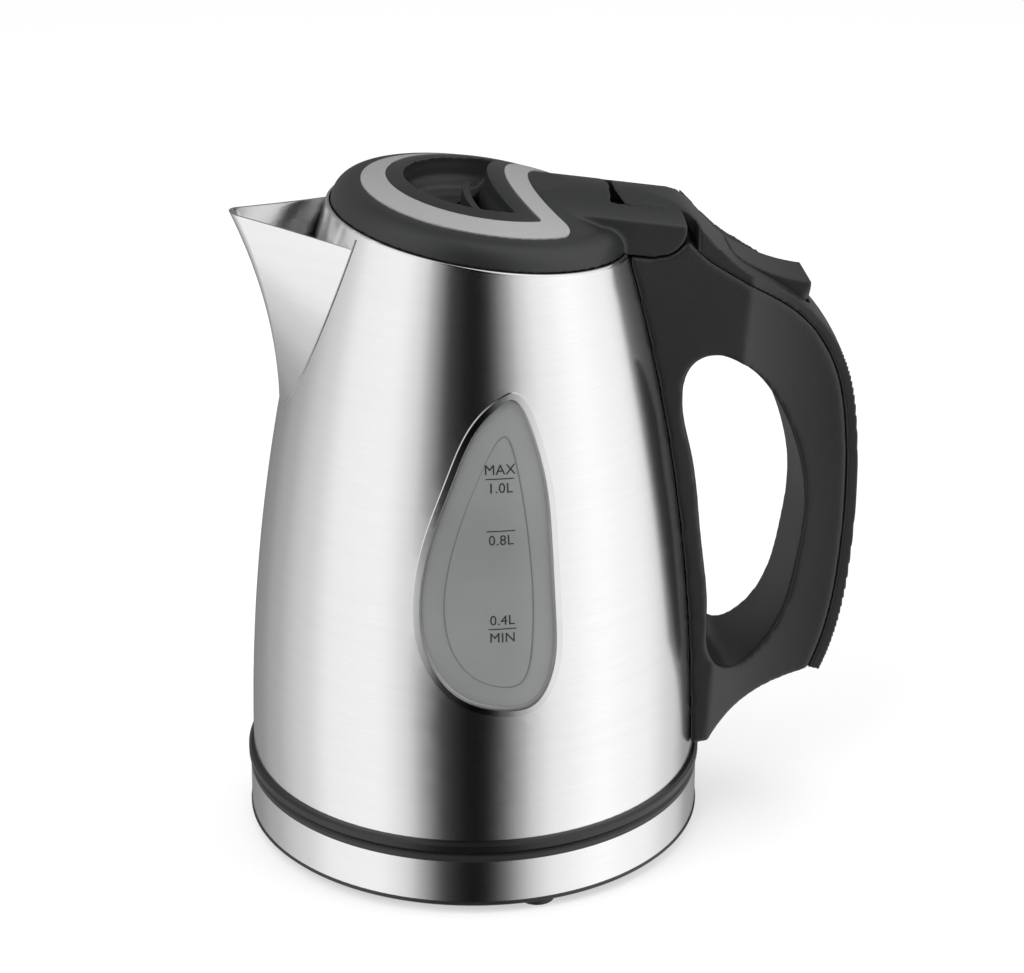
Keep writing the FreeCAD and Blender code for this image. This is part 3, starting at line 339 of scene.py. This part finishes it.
def gauge():
    """Level marks printed on the window, bent to its curve."""
    ink = moulded_plastic("gauge_ink", (0.012, 0.012, 0.012), 0.5, 0.1)
    for text, line, side in GAUGE:
        curve = bpy.data.curves.new("gauge_" + text.replace(".", "_"), "FONT")
        curve.body = text
        curve.size = GAUGE_TEXT_H
        curve.align_x = "CENTER"
        curve.align_y = "BOTTOM" if side > 0 else "TOP"
        curve.resolution_u = 3
        curve.space_character = 1.04
        flat = bpy.data.objects.new(curve.name + "_flat", curve)
        bpy.context.scene.collection.objects.link(flat)
        mesh = bpy.data.meshes.new_from_object(flat.evaluated_get(bpy.context.evaluated_depsgraph_get()))
        bpy.data.objects.remove(flat)
        level = GAUGE_LINES[line] + side * 0.0006
        for vertex in mesh.vertices:
            vertex.co = lens_point(GAUGE_X + vertex.co.x, level + vertex.co.y, GAUGE_INK)
        piece = bpy.data.objects.new(curve.name, mesh)
        bpy.context.scene.collection.objects.link(piece)
        mesh.materials.clear()
        mesh.materials.append(ink)
        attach(piece, "jug")
    length, width = GAUGE_LINE
    for index, z in enumerate(GAUGE_LINES):
        columns = 8
        points = [lens_point(GAUGE_X + length * (i / columns - 0.5), z + row * width, GAUGE_INK)
                  for i in range(columns + 1) for row in (0, 1)]
        faces = [(2 * i, 2 * i + 2, 2 * i + 3, 2 * i + 1) for i in range(columns)]
        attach(add_mesh("gauge_line_%d" % index, points, faces, ink), "jug")


def tube_along(name, points, radius, slot, body, closed):
    curve = bpy.data.curves.new(name + "_path", "CURVE")
    curve.dimensions = "3D"
    curve.bevel_depth = radius
    curve.bevel_resolution = 2
    spline = curve.splines.new("NURBS")
    spline.points.add(len(points) - 1)
    for point, place in zip(spline.points, points):
        point.co = (*place, 1.0)
    spline.order_u = 4
    spline.use_cyclic_u = closed
    spline.use_endpoint_u = not closed
    spline.resolution_u = 6
    flat = bpy.data.objects.new(name + "_path", curve)
    bpy.context.scene.collection.objects.link(flat)
    mesh = bpy.data.meshes.new_from_object(flat.evaluated_get(bpy.context.evaluated_depsgraph_get()))
    bpy.data.objects.remove(flat)
    piece = bpy.data.objects.new(name, mesh)
    bpy.context.scene.collection.objects.link(piece)
    mesh.materials.clear()
    mesh.materials.append(MATERIALS[slot])
    mesh.shade_smooth()
    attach(piece, body)


def window_contour():
    """Fine moulded line that follows the window's outline inside its border."""
    points = [lens_point(x * MM, z * MM, CONTOUR_R / 2) for x, z in CONTOUR]
    tube_along("window_contour", points, CONTOUR_R, "window_plastic", "jug", True)
    bpy.data.objects["window_contour"].data.materials[0] = window_plastic("window_line", 0.55)


def spout_seams():
    """Weld lines where the beak's flanks meet the shell."""
    for side in (-1, 1):
        points = []
        for step in range(15):
            t = 0.02 + 0.95 * step / 14
            z = SEAM_ROOT_Z + t * SEAM_RISE
            y = SEAM_HALF_W * math.sqrt(1 - abs(1 - t) ** SEAM_CURVE)
            radius = shell_radius(z) + SEAM_PROUD
            points.append(Vector((-math.sqrt(radius ** 2 - y ** 2), side * y, z)))
        name = "spout_seam_near" if side < 0 else "spout_seam_far"
        tube_along(name, points, SEAM_R, "brushed_steel", "jug", False)
        bpy.data.objects[name].data.materials[0] = MATERIALS["zinc_steel"]


# ------------------------------------------------------------------ light and stage
# brightness that reflections meet at each angle round the camera's axis, in degrees
ENVIRONMENT = [(-180, 0.20), (-145, 0.30), (-125, 0.45), (-97, 0.74), (-76, 1.05), (-48, 1.10), (-34, 0.88),
               (-24, 0.36), (-16, 0.03), (0, 0.0), (9, 0.0), (18, 0.14), (24, 0.44), (33, 0.78), (42, 1.02),
               (69, 1.22), (97, 1.10), (125, 0.76), (145, 0.36), (180, 0.20)]


def studio_world():
    """White surround for the camera; reflections see bright walls left and right with a dark gap between."""
    world = bpy.data.worlds.new("studio")
    bpy.context.scene.world = world
    world.use_nodes = True
    tree = world.node_tree
    tree.nodes.clear()
    output = add(tree, "ShaderNodeOutputWorld")
    coords = add(tree, "ShaderNodeTexCoord")
    turn = add(tree, "ShaderNodeVectorRotate", rotation_type="Z_AXIS")
    turn.inputs["Angle"].default_value = math.atan2(-CAMERA_AHEAD.x, CAMERA_AHEAD.y) * -1.0
    tree.links.new(coords.outputs["Generated"], turn.inputs["Vector"])
    split = add(tree, "ShaderNodeSeparateXYZ")
    tree.links.new(turn.outputs[0], split.inputs[0])
    away = math_node(tree, "MULTIPLY", split.outputs["Y"], -1.0)
    angle = math_node(tree, "ARCTAN2", split.outputs["X"], away)
    share = math_node(tree, "MULTIPLY_ADD", angle, 1.0 / (2.0 * math.pi), 0.5)
    grey = ramp(tree, share, [((degrees + 180.0) / 360.0, value) for degrees, value in ENVIRONMENT], "EASE")
    mirror = add(tree, "ShaderNodeBackground")
    tree.links.new(grey, mirror.inputs["Color"])
    fill = add(tree, "ShaderNodeBackground")
    fill.inputs["Color"].default_value = (1, 1, 1, 1)
    fill.inputs["Strength"].default_value = 0.55
    white = add(tree, "ShaderNodeBackground")
    white.inputs["Color"].default_value = (1, 1, 1, 1)
    path = add(tree, "ShaderNodeLightPath")
    first = add(tree, "ShaderNodeMixShader")
    tree.links.new(path.outputs["Is Glossy Ray"], first.inputs[0])
    tree.links.new(fill.outputs[0], first.inputs[1])
    tree.links.new(mirror.outputs[0], first.inputs[2])
    second = add(tree, "ShaderNodeMixShader")
    seen = math_node(tree, "MAXIMUM", path.outputs["Is Camera Ray"], path.outputs["Is Transmission Ray"])
    tree.links.new(seen, second.inputs[0])
    tree.links.new(first.outputs[0], second.inputs[1])
    tree.links.new(white.outputs[0], second.inputs[2])
    tree.links.new(second.outputs[0], output.inputs[0])


def area_light(name, place, aim, size, power, glossy=True):
    data = bpy.data.lights.new(name, "AREA")
    data.shape = "RECTANGLE"
    data.size, data.size_y = size
    data.energy = power
    lamp = bpy.data.objects.new(name, data)
    lamp.location = place
    lamp.rotation_euler = (Vector(aim) - Vector(place)).to_track_quat("-Z", "Y").to_euler()
    lamp.visible_camera = False
    lamp.visible_glossy = glossy
    bpy.context.scene.collection.objects.link(lamp)


def floor():
    """White floor that keeps the soft shadow; reflections look past it into the studio."""
    mesh = bpy.data.meshes.new("floor")
    half = 6.0
    corners = [(-half, -half, 0), (half, -half, 0), (half, half, 0), (-half, half, 0)]
    mesh.from_pydata(corners, [], [(0, 1, 2, 3)])
    piece = bpy.data.objects.new("floor", mesh)
    bpy.context.scene.collection.objects.link(piece)
    material, tree, shader = new_material("floor_white")
    shader.inputs["Base Color"].default_value = (0.82, 0.82, 0.82, 1)
    shader.inputs["Roughness"].default_value = 1.0
    shader.inputs["Specular IOR Level"].default_value = 0.0
    glow = add(tree, "ShaderNodeEmission")
    glow.inputs["Strength"].default_value = 1.0
    path = add(tree, "ShaderNodeLightPath")
    seen = math_node(tree, "MAXIMUM", path.outputs["Is Camera Ray"], path.outputs["Is Transmission Ray"])
    share = math_node(tree, "MULTIPLY", seen, 0.55)
    blend = add(tree, "ShaderNodeMixShader")
    tree.links.new(share, blend.inputs[0])
    tree.links.new(shader.outputs[0], blend.inputs[1])
    tree.links.new(glow.outputs[0], blend.inputs[2])
    tree.links.new(blend.outputs[0], tree.nodes["Material Output"].inputs[0])
    piece.data.materials.append(material)
    piece.visible_glossy = False


def camera():
    data = bpy.data.cameras.new("camera")
    data.lens = LENS_MM
    data.sensor_width = SENSOR_MM
    data.clip_start = 0.05
    data.clip_end = 50
    piece = bpy.data.objects.new("camera", data)
    back = -CAMERA_AHEAD.normalized()
    up = back.cross(CAMERA_RIGHT).normalized()
    right = up.cross(back)
    basis = Matrix((right, up, back)).transposed().to_4x4()
    piece.matrix_world = Matrix.Translation(CAMERA_AT) @ basis
    bpy.context.scene.collection.objects.link(piece)
    bpy.context.scene.camera = piece


camera()
studio_world()
area_light("key", (-0.9, -0.9, 1.5), (0, 0, 0.1), (1.2, 1.2), 22.0, glossy=False)
area_light("side", (1.3, -0.5, 1.0), (0, 0, 0.1), (1.0, 1.4), 12.0, glossy=False)
area_light("top", (0.0, 0.3, 1.7), (0, 0, 0.1), (1.4, 1.4), 16.0, glossy=False)
floor()
dress_cad()
softened("handle_shell", "jug", "black_abs", 0.0006, 14)
crown_cover(softened("handle_spine_cover", "jug", "black_abs", 0.0005, 3))
softened("lid_cover", "lid", "black_abs", 0.0005, 8)
softened("switch_rocker", "rocker", "black_abs", 0.0004, 6)
gauge()
window_contour()
spout_seams()
bpy.context.scene.view_settings.view_transform = "Standard"
